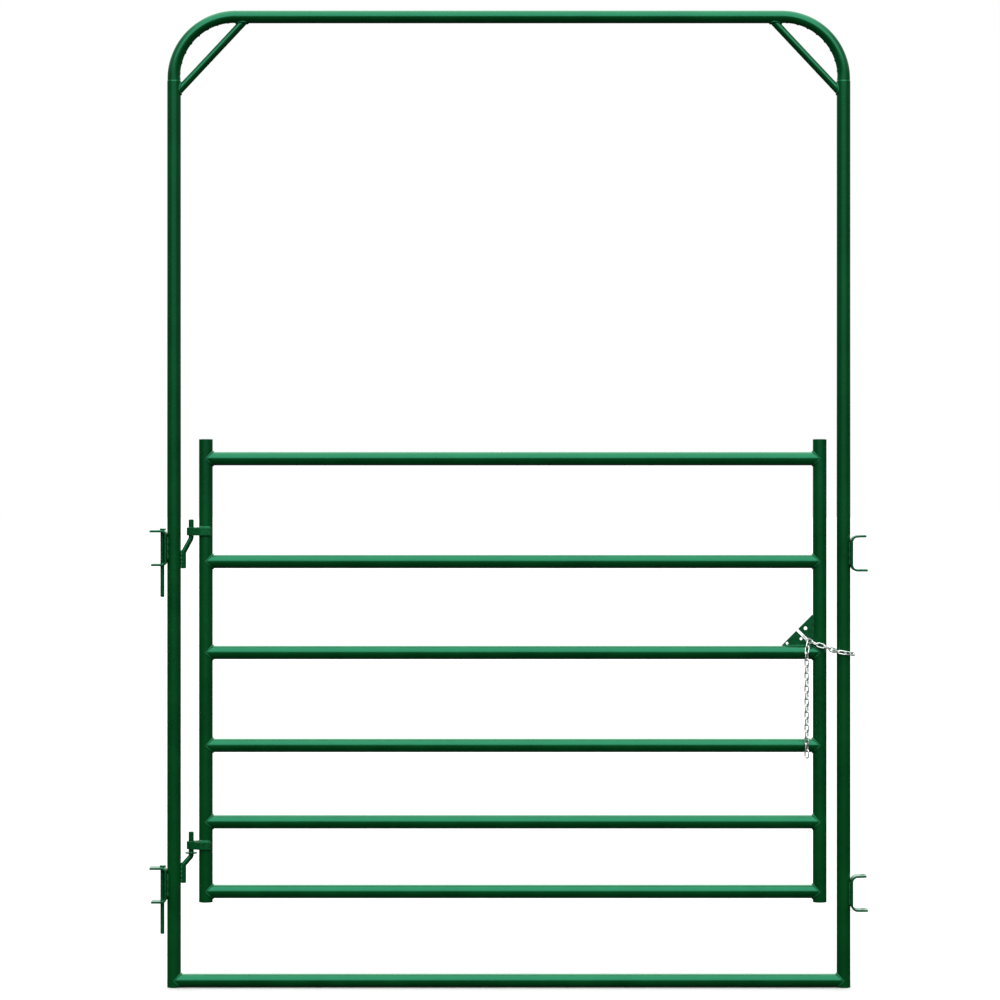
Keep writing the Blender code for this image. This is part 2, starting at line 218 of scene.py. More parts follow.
def zincFinish(name, look):
    material = bpy.data.materials.new(name)
    material.use_nodes = True
    tree = material.node_tree
    shader = tree.nodes["Principled BSDF"]
    place = addNode(tree, "ShaderNodeTexCoord").outputs["Object"]
    clouds = addNode(tree, "ShaderNodeTexNoise",
                     {"Vector": place, "Scale": 1 / look["cloudSize"], "Detail": 4.0, "Roughness": 0.6})
    colour = addNode(tree, "ShaderNodeMix",
                     {"Factor": clouds.outputs["Fac"], "A": hexColour(look["bright"]),
                      "B": hexColour(look["cloudy"])}, data_type="RGBA")
    rough = addNode(tree, "ShaderNodeMapRange",
                    {"Value": clouds.outputs["Fac"], "From Min": 0.3, "From Max": 0.7,
                     "To Min": look["roughness"][0], "To Max": look["roughness"][1]})
    marks = addNode(tree, "ShaderNodeTexNoise",
                    {"Vector": place, "Scale": 1 / look["dieMarkSize"], "Detail": 2.0})
    bump = addNode(tree, "ShaderNodeBump",
                   {"Height": marks.outputs["Fac"], "Strength": 1.0, "Distance": look["dieMarkHeight"]})
    # painted reflection and shade: where the wire turns away, its colour turns to the dark green of the painted
    # tubes it hangs beside
    facing = addNode(tree, "ShaderNodeLayerWeight", {"Blend": look["paintedReflectionReach"]}).outputs["Facing"]
    withPaintedReflection = addNode(tree, "ShaderNodeMix",
                    {"Factor": facing, "A": colour.outputs["Result"], "B": hexColour(look["edge"])},
                    data_type="RGBA")
    tree.links.new(withPaintedReflection.outputs["Result"], shader.inputs["Base Color"])
    tree.links.new(rough.outputs["Result"], shader.inputs["Roughness"])
    tree.links.new(bump.outputs["Normal"], shader.inputs["Normal"])
    shader.inputs["Metallic"].default_value = look["metallic"]
    return material


def boreFinish(name, look):
    material = bpy.data.materials.new(name)
    material.use_nodes = True
    tree = material.node_tree
    shader = tree.nodes["Principled BSDF"]
    place = addNode(tree, "ShaderNodeTexCoord").outputs["Object"]
    patches = addNode(tree, "ShaderNodeTexNoise",
                      {"Vector": place, "Scale": 1 / look["patchSize"], "Detail": 5.0})
    share = addNode(tree, "ShaderNodeMapRange",
                    {"Value": patches.outputs["Fac"], "From Min": 0.5, "From Max": 0.7})
    colour = addNode(tree, "ShaderNodeMix",
                     {"Factor": share.outputs["Result"], "A": hexColour(look["steel"]),
                      "B": hexColour(look["rust"])}, data_type="RGBA")
    tree.links.new(colour.outputs["Result"], shader.inputs["Base Color"])
    shader.inputs["Roughness"].default_value = look["roughness"]
    shader.inputs["Metallic"].default_value = 0.6
    return material


tubePaint = paintFinish("powderCoatOnTube", powderCoat)
strapPaint = paintFinish("powderCoatOnStrap", strapCoat)
weldPaint = paintFinish("powderCoatOnWeld", weldCoat)
chainZinc = zincFinish("brightZincPlate", zincPlate)
tubeBore = boreFinish("bareMillSteel", millScale)
greenSlot = "green_powder_coat"
zincSlot = "zinc_chain"
print("stage: finishes made")


tubeLook = {"sides": 64, "wall": 0.0016, "rim": 0.0006}
upAxis = Vector((0, 0, 1))
acrossAxis = Vector((0, 1, 0))


def ringAt(centre, side, normal, radius, stretch=1.0):
    # radius may be one number or one for each side of the tube
    count = tubeLook["sides"]
    radii = radius if hasattr(radius, "__len__") else [radius] * count
    return [centre + side * (math.cos(2 * math.pi * k / count) * radii[k] * stretch)
            + normal * (math.sin(2 * math.pi * k / count) * radii[k]) for k in range(count)]


def openTube(name, low, high, radius, tip=None):
    # an upright hollow tube with a rounded rim at both ends, and a drawn-in tip if one is given
    low, high = Vector(low), Vector(high)
    side = Vector((1, 0, 0))
    rim, wall = tubeLook["rim"], tubeLook["wall"]
    top = [(high - upAxis * rim, radius), (high, radius - rim)]
    if tip:
        top = [(high - upAxis * (tip["length"] + 0.0012), radius), (high - upAxis * tip["length"], radius),
               (high, tip["radius"])]
    bore = (tip["radius"] if tip else radius) - wall
    stations = [(low, radius - rim), (low + upAxis * rim, radius), *top, (high, bore), (low, radius - wall)]
    bm = bmesh.new()
    ringLoft(bm, [ringAt(c, side, acrossAxis, r) for c, r in stations], wrap=True, bore=[len(stations) - 2])
    return meshObject(name, bm, [tubePaint, tubeBore])


def saddleTube(name, leftCentre, rightCentre, endRadius, radius):
    # a level tube whose ends are cut to sit round the uprights at both centres
    side = Vector((0, 0, 1))
    wall = tubeLook["wall"]

    def cut(ring, centre, sign):
        return [Vector((centre.x + sign * math.sqrt(max(endRadius ** 2 - p.y ** 2, 0)), p.y, p.z))
                for p in ring]

    outer = [cut(ringAt(leftCentre, side, acrossAxis, radius), leftCentre, 1),
             cut(ringAt(rightCentre, side, acrossAxis, radius), rightCentre, -1)]
    inner = [cut(ringAt(rightCentre, side, acrossAxis, radius - wall), rightCentre, -1),
             cut(ringAt(leftCentre, side, acrossAxis, radius - wall), leftCentre, 1)]
    bm = bmesh.new()
    ringLoft(bm, outer + inner, wrap=True, bore=[2])
    return meshObject(name, bm, [tubePaint, tubeBore])


postLow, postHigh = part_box("frame_post_left")
tubeRadius = (postHigh.y - postLow.y) / 2
postX = abs(centreOf("frame_post_left").x)
postTop = postHigh.z
bowLow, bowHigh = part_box("top_bow")
bowRadius = (bowHigh.y - bowLow.y) / 2
bowZ = bowHigh.z - bowRadius
for word, sign in (("left", -1), ("right", 1)):
    post = openTube(f"post{word.title()}", (sign * postX, 0, postLow.z), (sign * postX, 0, postTop), tubeRadius,
                    tip={"length": 0.0022, "radius": bowRadius})
    standFor(post, "frame", greenSlot, f"frame_post_{word}")

# the bow: a mandrel-less bend, so the inside of each corner is flattened and crimped
bowLook = {"bendRadius": 0.172, "bendSteps": 96, "flatten": 0.16, "crimpHeight": 0.0026, "crimpPitch": 0.033,
           "crimpWidth": 0.09}


def bowTube(name):
    path = roundedPath([(-postX, 0, postTop), (-postX, 0, bowZ), (postX, 0, bowZ), (postX, 0, postTop)],
                       bowLook["bendRadius"], bowLook["bendSteps"])
    steps = bowLook["bendSteps"]
    arc = bowLook["bendRadius"] * math.pi / 2
    count = tubeLook["sides"]
    outer, inner = [], []
    for i, (point, side, stretch, along) in enumerate(pathFrames(path, acrossAxis)):
        step = i - 1 if i <= steps + 1 else i - 2 - steps
        share = step / steps if 0 < i < len(path) - 1 else 0.0
        window = math.sin(math.pi * min(max(share, 0), 1)) ** 0.5 if 0 < share < 1 else 0.0
        centre = Vector((math.copysign(postX - bowLook["bendRadius"], point.x), 0,
                         bowZ - bowLook["bendRadius"]))
        inward = (centre - point).normalized()
        # each crimp is a narrow fold with its steeper side towards the post
        phase = (share * arc / bowLook["crimpPitch"]) % 1.0 - 0.5
        crimp = math.exp(-(phase / (bowLook["crimpWidth"] * (1.0 if phase < 0 else 0.5))) ** 2)
        radii = []
        for k in range(count):
            a = 2 * math.pi * k / count
            facing = max((side * math.cos(a) + acrossAxis * math.sin(a)).dot(inward), 0.0)
            shrink = 1 - bowLook["flatten"] * window * facing ** 2
            radii.append(bowRadius * shrink + bowLook["crimpHeight"] * window * facing ** 4 * crimp)
        outer.append(ringAt(point, side, acrossAxis, radii, stretch))
        inner.append(ringAt(point, side, acrossAxis, [r - tubeLook["wall"] for r in radii], stretch))
    bm = bmesh.new()
    ringLoft(bm, outer + inner[::-1], wrap=True, bore=range(len(outer), 2 * len(outer) - 1))
    return meshObject(name, bm, [tubePaint, tubeBore], 60)


standFor(bowTube("topBow"), "frame", greenSlot, "top_bow")
railZ = centreOf("bottom_rail").z
standFor(saddleTube("bottomRail", Vector((-postX, 0, railZ)), Vector((postX, 0, railZ)),
                    tubeRadius, tubeRadius),
         "frame", greenSlot, "bottom_rail")

hingeStile = centreOf("gate_stile_hinge_side")
latchStile = centreOf("gate_stile_latch_side")
for pieceName, node in (("stileHingeSide", "gate_stile_hinge_side"),
                        ("stileLatchSide", "gate_stile_latch_side")):
    low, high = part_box(node)
    stile = openTube(pieceName, (centreOf(node).x, 0, low.z), (centreOf(node).x, 0, high.z), tubeRadius)
    standFor(stile, "leaf", greenSlot, node)
leafRails = []
for number in range(1, 7):
    z = centreOf(f"rail_{number}").z
    leafRails.append(z)
    rail = saddleTube(f"rail{number}", Vector((hingeStile.x, 0, z)), Vector((latchStile.x, 0, z)),
                      tubeRadius, tubeRadius)
    standFor(rail, "leaf", greenSlot, f"rail_{number}")
print("stage: tubes made")


# where weld beads run on each body, filled in as the pieces are made
beadPaths = {"frame": [], "leaf": []}


def addBead(body, points, radii, closed=False):
    radii = radii if hasattr(radii, "__len__") else [radii] * len(points)
    beadPaths[body].append(([Vector(p) for p in points], list(radii), closed))


saddleBead = {"corner": 0.0034, "crown": 0.0022, "proud": 0.0008, "steps": 72}


def saddleWeld(body, centreX, z, sign, radius):
    # round the mouth of a level tube on an upright: a fillet above and below, nearly flush in front,
    # and pulled in where it would reach under the gate
    points, radii = [], []
    for k in range(saddleBead["steps"]):
        a = 2 * math.pi * k / saddleBead["steps"]
        flat = abs(math.sin(a)) ** 3
        bead = saddleBead["corner"] * (1 - flat) + saddleBead["crown"] * flat
        sink = (bead - saddleBead["proud"]) * abs(math.sin(a)) ** 6
        y = math.sin(a) * (radius - sink)
        height = max(z + math.cos(a) * radius, bead * 1.1)
        points.append((centreX + sign * (radius * abs(math.cos(a)) + 0.0002), y, height))
        radii.append(bead)
    addBead(body, points, radii, True)


for z in leafRails:
    saddleWeld("leaf", hingeStile.x, z, 1, tubeRadius)
    saddleWeld("leaf", latchStile.x, z, -1, tubeRadius)
saddleWeld("frame", -postX, railZ, 1, tubeRadius)
saddleWeld("frame", postX, railZ, -1, tubeRadius)


barLook = {"sides": 40, "chamfer": 0.0009}


def barMesh(name, path, radius, normal, material, chamfer=True):
    frames = pathFrames(path, normal)
    count = barLook["sides"]
    cut = barLook["chamfer"] if chamfer else 0.0
    stations = []
    for i, (point, side, stretch, along) in enumerate(frames):
        if i == 0 and chamfer:
            stations += [(point, side, radius - cut, stretch), (point + along * cut, side, radius, stretch)]
        elif i == len(frames) - 1 and chamfer:
            stations += [(point - along * cut, side, radius, stretch), (point, side, radius - cut, stretch)]
        else:
            stations.append((point, side, radius, stretch))
    rings = []
    for point, side, r, stretch in stations:
        rings.append([point + side * (math.cos(2 * math.pi * k / count) * r * stretch)
                      + Vector(normal) * (math.sin(2 * math.pi * k / count) * r) for k in range(count)])
    bm = bmesh.new()
    ringLoft(bm, rings)
    return meshObject(name, bm, [material], 35)


braceLook = {"postZ": 2.506, "bowX": 0.744, "bead": 0.0034}
braceRadius = (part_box("corner_brace_left")[1].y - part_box("corner_brace_left")[0].y) / 2
rise = (bowZ - bowRadius - braceLook["postZ"]) / (postX - tubeRadius - braceLook["bowX"])
for word, sign in (("left", -1), ("right", 1)):
    foot = Vector((sign * (postX - tubeRadius * 0.55), 0, braceLook["postZ"] - tubeRadius * 0.45 * rise))
    head = Vector((sign * (braceLook["bowX"] - bowRadius * 0.45 / rise), 0, bowZ - bowRadius * 0.55))
    brace = barMesh(f"brace{word.title()}", [foot, head], braceRadius, acrossAxis, tubePaint, chamfer=False)
    standFor(brace, "frame", greenSlot, f"corner_brace_{word}")
    along = (head - foot).normalized()
    side = acrossAxis.cross(along)
    for surface in ("post", "bow"):
        ring = []
        for k in range(40):
            a = 2 * math.pi * k / 40
            start = foot + side * (math.cos(a) * braceRadius) + acrossAxis * (math.sin(a) * braceRadius)
            if surface == "post":
                hit = (sign * (postX - math.sqrt(tubeRadius ** 2 - start.y ** 2)) - start.x) / along.x
            else:
                hit = (bowZ - math.sqrt(bowRadius ** 2 - start.y ** 2) - start.z) / along.z
            ring.append(start + along * hit)
        addBead("frame", ring, braceLook["bead"], True)

pinX = centreOf("hinge_washer_lower").x
rodShapes = {
    "upper": {"bend": 1.213, "pin": 1.252, "fillet": 0.020},
    "lower": {"bend": 0.342, "pin": 0.366, "fillet": 0.012},
}
for word, shape in rodShapes.items():
    low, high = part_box(f"hinge_rod_{word}")
    pinRadius = (high.y - low.y) / 2
    legX = low.x + pinRadius
    corners = [(legX, 0, low.z), (legX, 0, shape["bend"]), (pinX, 0, shape["pin"]), (pinX, 0, high.z)]
    rod = barMesh(f"hingeRod{word.title()}", roundedPath(corners, shape["fillet"], 16), pinRadius, acrossAxis,
                  tubePaint)
    standFor(rod, "frame", greenSlot, f"hinge_rod_{word}")
    # the leg is welded to the post along its front and its back
    weldTop = shape["bend"] + 0.002
    for facing in (-1, 1):
        run = [(legX - 0.0052, facing * 0.0062, low.z + 0.003 + (weldTop - low.z - 0.003) * k / 12)
               for k in range(13)]
        addBead("frame", run, [0.0034 + 0.0006 * math.sin(k * 2.1) for k in range(13)])
    addBead("frame", [(legX - 0.0055, -0.005, weldTop), (legX - 0.0055, 0.005, weldTop)], 0.0036)

# the washer under the lower eye: a stamped disc with softly rolled edges
washerLook = {"edge": 0.0007, "clearance": 0.0003}
low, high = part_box("hinge_washer_lower")
washerOuter = (high.y - low.y) / 2
washerInner = pinRadius + washerLook["clearance"]
edge = washerLook["edge"]
profile = [(washerOuter - edge, low.z), (washerOuter, low.z + edge), (washerOuter, high.z - edge),
           (washerOuter - edge, high.z), (washerInner + edge, high.z), (washerInner, high.z - edge),
           (washerInner, low.z + edge), (washerInner + edge, low.z)]
bm = bmesh.new()
ringLoft(bm, [ringAt(Vector((pinX, 0, z)), Vector((1, 0, 0)), acrossAxis, r) for r, z in profile], wrap=True)
standFor(meshObject("pinWasher", bm, [strapPaint]), "frame", greenSlot, "hinge_washer_lower")
print("stage: bars made")


strapLook = {"corner": 0.0011, "cornerSteps": 3, "holeEdge": 0.0006}


def strapProfile(thick, wide):
    # a sheared strap's section with its arrises rounded by tumbling and paint
    c, steps = strapLook["corner"], strapLook["cornerSteps"]
    out = []
    for cx, cy, start in ((thick / 2 - c, wide / 2 - c, 0.0), (-thick / 2 + c, wide / 2 - c, 0.5),
                          (-thick / 2 + c, -wide / 2 + c, 1.0), (thick / 2 - c, -wide / 2 + c, 1.5)):
        arc = [math.pi * (start + 0.5 * step / steps) for step in range(steps + 1)]
        corner = [Vector((cx + c * math.cos(a), cy + c * math.sin(a), 0)) for a in arc]
        # one more point on each flat, close to the corner, holds the flat's own normal
        hold = 0.25 * c
        before = Vector((math.sin(arc[0]), -math.cos(arc[0]), 0)) * hold
        after = Vector((-math.sin(arc[-1]), math.cos(arc[-1]), 0)) * hold
        out += [tuple(p.xy) for p in (corner[0] + before, *corner, corner[-1] + after)]
    return out


def strapMesh(name, path, normal, thick, wide):
    normal = Vector(normal)
    c = strapLook["corner"]
    frames = pathFrames(path, normal)
    rings = []
    full, small = strapProfile(thick, wide), strapProfile(thick - 1.2 * c, wide - 1.2 * c)
    for i, (point, side, stretch, along) in enumerate(frames):
        if i == 0:
            rings.append([point + side * s + normal * n for s, n in small])
            rings.append([point + along * c * 0.7 + side * s + normal * n for s, n in full])
            rings.append([point + along * c * 1.2 + side * s + normal * n for s, n in full])
        elif i == len(frames) - 1:
            rings.append([point - along * c * 1.2 + side * s + normal * n for s, n in full])
            rings.append([point - along * c * 0.7 + side * s + normal * n for s, n in full])
            rings.append([point + side * s + normal * n for s, n in small])
        else:
            rings.append([point + side * s * stretch + normal * n for s, n in full])
    bm = bmesh.new()
    ringLoft(bm, rings)
    return meshObject(name, bm, [strapPaint], 42)


def cutAway(piece, cutters, sharpAngle=35):
    for cutter in cutters:
        step = piece.modifiers.new("cut", "BOOLEAN")
        step.operation = "DIFFERENCE"
        step.solver = "EXACT"
        step.object = cutter
    bakeModifiers(piece)
    evenNormals(piece, sharpAngle)
    for cutter in cutters:
        bpy.data.objects.remove(cutter, do_unlink=True)
    return piece


def turnedCutter(centre, axis, side, stations):
    # a turned body for cutting holes with broken edges: stations are distance along the axis and radius
    bm = bmesh.new()
    axis, side = Vector(axis), Vector(side)
    normal = axis.cross(side)
    spokes = [side * math.cos(math.pi * k / 20) + normal * math.sin(math.pi * k / 20) for k in range(40)]
    rings = [[centre + axis * d + spoke * r for spoke in spokes] for d, r in stations]
    ringLoft(bm, rings)
    return meshObject("cutter", bm, [strapPaint])


eyeLook = {"thick": 0.005, "bore": 0.0003, "kneeX": -0.858, "bend": 0.008, "wrapSteps": 40}
for word in ("upper", "lower"):
    low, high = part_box(f"hinge_eye_{word}")
    z = (low.z + high.z) / 2
    wrapRadius = pinRadius + eyeLook["bore"] + eyeLook["thick"] / 2
    armY = (high.y - low.y) / 2 - eyeLook["thick"] / 2
    knee = Vector((eyeLook["kneeX"] - pinX, -armY, 0))
    reach = math.atan2(knee.y, knee.x) - math.acos(wrapRadius / knee.length)
    wrap = [Vector((pinX + wrapRadius * math.cos(a), wrapRadius * math.sin(a), z))
            for a in [reach - (2 * math.pi + 2 * reach) * k / eyeLook["wrapSteps"]
                      for k in range(eyeLook["wrapSteps"] + 1)]]
    front = roundedPath([(high.x, -armY, z), (eyeLook["kneeX"], -armY, z), wrap[0]], eyeLook["bend"], 8)[:-1]
    back = roundedPath([wrap[-1], (eyeLook["kneeX"], armY, z), (high.x, armY, z)], eyeLook["bend"], 8)[1:]
    eye = strapMesh(f"hingeEye{word.title()}", front + wrap + back, upAxis, eyeLook["thick"], high.z - low.z)
    standFor(eye, "leaf", greenSlot, f"hinge_eye_{word}")
    for facing in (-1, 1):
        for edgeZ, bead in ((high.z, 0.0036), (low.z, 0.0026)):
            run, radii = [], []
            for k in range(15):
                x = eyeLook["kneeX"] - 0.001 + (high.x - 0.002 - eyeLook["kneeX"]) * k / 14
                surface = math.sqrt(max(tubeRadius ** 2 - (x - hingeStile.x) ** 2, 0))
                run.append((x, facing * (surface + 0.0012), edgeZ + (0.0006 if edgeZ == high.z else -0.0002)))
                radii.append(bead * (1 + 0.16 * math.sin(k * 1.35 + facing)))
            addBead("leaf", run, radii)
        end = [(high.x + 0.0004, facing * (math.sqrt(tubeRadius ** 2 - (high.x - hingeStile.x) ** 2) + 0.001),
                low.z + (high.z - low.z) * k / 8) for k in range(9)]
        addBead("leaf", end, 0.0024)


clipLook = {
    "thick": 0.006, "lipSpacing": 0.0938, "holeRadius": 0.00635,
    "left": {"shortTop": 0.0, "shortLow": 0.0046, "corner": 0.011, "rise": 0.0, "holeX": -0.966},
    "right": {"shortTop": 0.0036, "shortLow": 0.0, "corner": 0.0155, "rise": 0.0015, "holeX": 0.9872},
    "bead": 0.0033, "beadLength": 0.062, "beadDepth": 0.0115,
}
for handWord, sign in (("left", -1), ("right", 1)):
    form = clipLook[handWord]
    webX = sign * (postX + tubeRadius + 0.0003 + clipLook["thick"] / 2)
    for word in ("upper", "lower"):
        low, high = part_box(f"clip_{handWord}_{word}")
        lowZ = low.z + clipLook["thick"] / 2
        topZ = lowZ + clipLook["lipSpacing"]
        tipX = low.x if sign < 0 else high.x
        path = roundedPath([(tipX - sign * form["shortTop"], 0, topZ + form["rise"]), (webX, 0, topZ),
                            (webX, 0, lowZ), (tipX - sign * form["shortLow"], 0, lowZ)], form["corner"], 14)
        clip = strapMesh(f"clip{handWord.title()}{word.title()}", path, acrossAxis,
                         clipLook["thick"], high.y - low.y)
        half, broken, r = clipLook["thick"] / 2, strapLook["holeEdge"], clipLook["holeRadius"]
        stations = []
        for lipZ in (lowZ, topZ):
            stations += [(lipZ - half - 0.012, r + broken + 0.0001), (lipZ - half, r + broken),
                         (lipZ - half + broken, r), (lipZ + half - broken, r), (lipZ + half, r + broken),
                         (lipZ + half + 0.012, r + broken + 0.0001)]
        hole = turnedCutter(Vector((form["holeX"], 0, 0)), upAxis, (1, 0, 0), stations)
        cutAway(clip, [hole], 42)
        standFor(clip, "frame", greenSlot, f"clip_{handWord}_{word}")
        for facing in (-1, 1):
            y = facing * clipLook["beadDepth"]
            x = sign * (postX + math.sqrt(tubeRadius ** 2 - y ** 2) + clipLook["bead"] * 0.5)
            mid = (topZ + lowZ) / 2
            run = [(x, y, mid + clipLook["beadLength"] * (k / 20 - 0.5)) for k in range(21)]
            addBead("frame", run, [clipLook["bead"] * (1 + 0.1 * math.sin(k * 0.9)) for k in range(21)])
print("stage: straps made")


pinLook = {"radius": 0.00555, "headLength": 0.017, "headDepth": 0.013, "headThick": 0.0045,
           "headShift": 0.0015, "chamfer": 0.0016}
for word in ("upper", "lower"):
    low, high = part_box(f"drop_pin_{word}")
    x = clipLook["left"]["holeX"]
    seat = high.z - pinLook["headThick"]
    c, r = pinLook["chamfer"], pinLook["radius"]
    bm = bmesh.new()
    count = barLook["sides"]
    stations = [(low.z, r - c), (low.z + c, r), (seat - 0.0004, r), (seat + 0.0006, r + 0.0008),
                (seat + 0.002, r + 0.0008)]
    turns = [2 * math.pi * k / count for k in range(count)]
    ringLoft(bm, [[Vector((x + rr * math.cos(a), rr * math.sin(a), z)) for a in turns] for z, rr in stations])
    # the head is a short flat bar, forged on and rounded all over
    headCentre = Vector((x + pinLook["headShift"], 0, seat + pinLook["headThick"] / 2))
    head = bmesh.ops.create_cube(bm, size=1.0, matrix=Matrix.Translation(headCentre) @ Matrix.Diagonal(
        (pinLook["headLength"], pinLook["headDepth"], pinLook["headThick"], 1)))
    edges = {e for v in head["verts"] for e in v.link_edges}
    bmesh.ops.bevel(bm, geom=list(edges), offset=0.0015, segments=4, profile=0.6, affect="EDGES")
    pin = evenNormals(meshObject(f"dropPin{word.title()}", bm, [strapPaint], 40), 50)
    standFor(pin, f"drop_pin_{word}_body", greenSlot, f"drop_pin_{word}")
print("stage: drop pins made")


plateLook = {
    "thick": 0.006, "blunt": 0.0015, "slotWide": 0.0075, "slotDepth": 0.0436, "edge": 0.0005,
    "holes": ((0.8273, 1.001, 0.005), (0.815, 0.9717, 0.004), (0.776, 0.9592, 0.0038)),
    "bead": 0.0028,
}


def latchPlate(name):
    low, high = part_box("latch_plate")
    corner = Vector((high.x, 0, low.z))
    leg = high.z - low.z
    blunt = plateLook["blunt"]
    inward = Vector((1, 0, -1)).normalized()
    edgeWay = Vector((1, 0, 1)).normalized()
    mouth = corner + Vector((-leg - blunt, 0, leg + blunt)) / 2
    half = plateLook["slotWide"] / 2
    slotEnd = mouth + inward * (plateLook["slotDepth"] - half)
    outline = [corner, corner + Vector((0, 0, leg)), corner + Vector((-blunt, 0, leg)), mouth + edgeWay * half]
    for k in range(13):
        a = math.pi / 2 - math.pi * k / 12
        outline.append(slotEnd + inward * (math.cos(a) * half) + edgeWay * (math.sin(a) * half))
    outline += [mouth - edgeWay * half, corner + Vector((-leg, 0, blunt)), corner + Vector((-leg, 0, 0))]
    bm = bmesh.new()
    depth = plateLook["thick"] / 2
    front = [bm.verts.new(p + Vector((0, -depth, 0))) for p in outline]
    back = [bm.verts.new(p + Vector((0, depth, 0))) for p in outline]
    bm.faces.new(front)
    bm.faces.new(back[::-1])
    for k in range(len(outline)):
        following = (k + 1) % len(outline)
        bm.faces.new((front[k], back[k], back[following], front[following]))
    plate = meshObject(name, bm, [strapPaint], 35)
    broken = plateLook["edge"]
    cutters = []
    for x, z, r in plateLook["holes"]:
        stations = [(-depth - 0.004, r + broken + 0.0001), (-depth, r + broken), (-depth + broken, r),
                    (depth - broken, r), (depth, r + broken), (depth + 0.004, r + broken + 0.0001)]
        cutters.append(turnedCutter(Vector((x, 0, z)), acrossAxis, (1, 0, 0), stations))
    cutAway(plate, cutters, 35)
    bevel = plate.modifiers.new("edges", "BEVEL")
    bevel.width = broken
    bevel.segments = 2
    bevel.limit_method = "ANGLE"
    bevel.angle_limit = math.radians(60)
    evenNormals(bakeModifiers(plate), 60)
    # fillets along both legs: whole length in front, two stitches behind
    for facing, spans in ((-1, ((0.04, 0.98),)), (1, ((0.06, 0.36), (0.62, 0.92)))):
        y = facing * (depth + 0.0012)
        out = math.sqrt(tubeRadius ** 2 - y ** 2) - tubeRadius
        for a, b in spans:
            along = [a + (b - a) * k / 16 for k in range(17)]
            radii = [plateLook["bead"] * (1 + 0.12 * math.sin(k * 1.7)) for k in range(17)]
            addBead("leaf", [(corner.x - out, y, corner.z + leg * t) for t in along], radii)
            addBead("leaf", [(corner.x - leg * t, y, corner.z + out) for t in along], radii)
    return plate


standFor(latchPlate("latchPlate"), "leaf", greenSlot, "latch_plate")
print("stage: latch plate made")


def openTree(name, inputs):
    # a node tree with geometry in and out and the named inputs
    tree = bpy.data.node_groups.new(name, "GeometryNodeTree")
    tree.interface.new_socket("Geometry", in_out="OUTPUT", socket_type="NodeSocketGeometry")
    for label, kind in {"Geometry": "Geometry", **inputs}.items():
        tree.interface.new_socket(label, in_out="INPUT", socket_type="NodeSocket" + kind)
    return tree


def treeMaths(tree, operation, a, b=None):
    values = {0: a} if b is None else {0: a, 1: b}
    return addNode(tree, "ShaderNodeMath", values, operation=operation).outputs[0]


def closeTree(tree, geometry, material):
    # smooth, realized and finished, then out
    smooth = addNode(tree, "GeometryNodeSetShadeSmooth", {"Geometry": geometry, "Shade Smooth": True})
    real = addNode(tree, "GeometryNodeRealizeInstances", {"Geometry": smooth.outputs["Geometry"]})
    finished = addNode(tree, "GeometryNodeSetMaterial",
                       {"Geometry": real.outputs["Geometry"], "Material": material})
    addNode(tree, "NodeGroupOutput", {"Geometry": finished.outputs["Geometry"]})
    return tree


beadLook = {"ripplePitch": 0.0026, "rippleDepth": 0.2, "wander": 0.14, "sides": 10, "stepsPerRipple": 4.0,
            "seed": 7.0}


def beadTree():
    # a stacked-coin weld bead along any path: the radius swells and drops once each ripple
    tree = openTree("weldBead", {"Ripple Pitch": "Float", "Ripple Depth": "Float", "Wander": "Float",
                                 "Sides": "Int", "Steps Per Ripple": "Float", "Seed": "Float",
                                 "Paint": "Material"})
    given = addNode(tree, "NodeGroupInput").outputs
    curve = addNode(tree, "GeometryNodeMeshToCurve", {"Mesh": given["Geometry"]})
    step = treeMaths(tree, "DIVIDE", given["Ripple Pitch"], given["Steps Per Ripple"])
    even = addNode(tree, "GeometryNodeResampleCurve", {"Curve": curve.outputs["Curve"], "Length": step},
                   mode="LENGTH")
    along = addNode(tree, "GeometryNodeSplineParameter")
    turns = treeMaths(tree, "DIVIDE", along.outputs["Length"], given["Ripple Pitch"])
    drop = treeMaths(tree, "POWER", treeMaths(tree, "FRACT", turns), 2.0)
    ripple = treeMaths(tree, "MULTIPLY", drop, given["Ripple Depth"])
    place = addNode(tree, "GeometryNodeInputPosition")
    noise = addNode(tree, "ShaderNodeTexNoise",
                    {"Vector": place.outputs["Position"], "W": given["Seed"], "Scale": 160.0, "Detail": 1.0},
                    noise_dimensions="4D")
    centred = treeMaths(tree, "SUBTRACT", noise.outputs["Fac"], 0.5)
    wander = treeMaths(tree, "MULTIPLY", treeMaths(tree, "MULTIPLY", centred, given["Wander"]), 2.0)
    scale = treeMaths(tree, "ADD", treeMaths(tree, "SUBTRACT", wander, ripple), 1.0)
    radius = addNode(tree, "GeometryNodeInputNamedAttribute", {"Name": "beadRadius"}, data_type="FLOAT")
    size = treeMaths(tree, "MULTIPLY", scale, radius.outputs["Attribute"])
    ring = addNode(tree, "GeometryNodeCurvePrimitiveCircle", {"Resolution": given["Sides"], "Radius": 1.0})
    body = addNode(tree, "GeometryNodeCurveToMesh",
                   {"Curve": even.outputs["Curve"], "Profile Curve": ring.outputs["Curve"],
                    "Scale": size, "Fill Caps": True})
    return closeTree(tree, body.outputs["Mesh"], given["Paint"])


def treePiece(name, mesh, tree, values):
    # runs a node tree on a carrier mesh and keeps the plain result
    carrier = bpy.data.objects.new(name + "Carrier", mesh)
    bpy.context.scene.collection.objects.link(carrier)
    modifier = carrier.modifiers.new("nodes", "NODES")
    modifier.node_group = tree
    for item in tree.interface.items_tree:
        if item.in_out == "INPUT" and item.name in values:
            modifier[item.identifier] = values[item.name]
    graph = bpy.context.evaluated_depsgraph_get()
    made = bpy.data.meshes.new_from_object(carrier.evaluated_get(graph))
    bpy.data.objects.remove(carrier, do_unlink=True)
    piece = bpy.data.objects.new(name, made)
    bpy.context.scene.collection.objects.link(piece)
    return piece


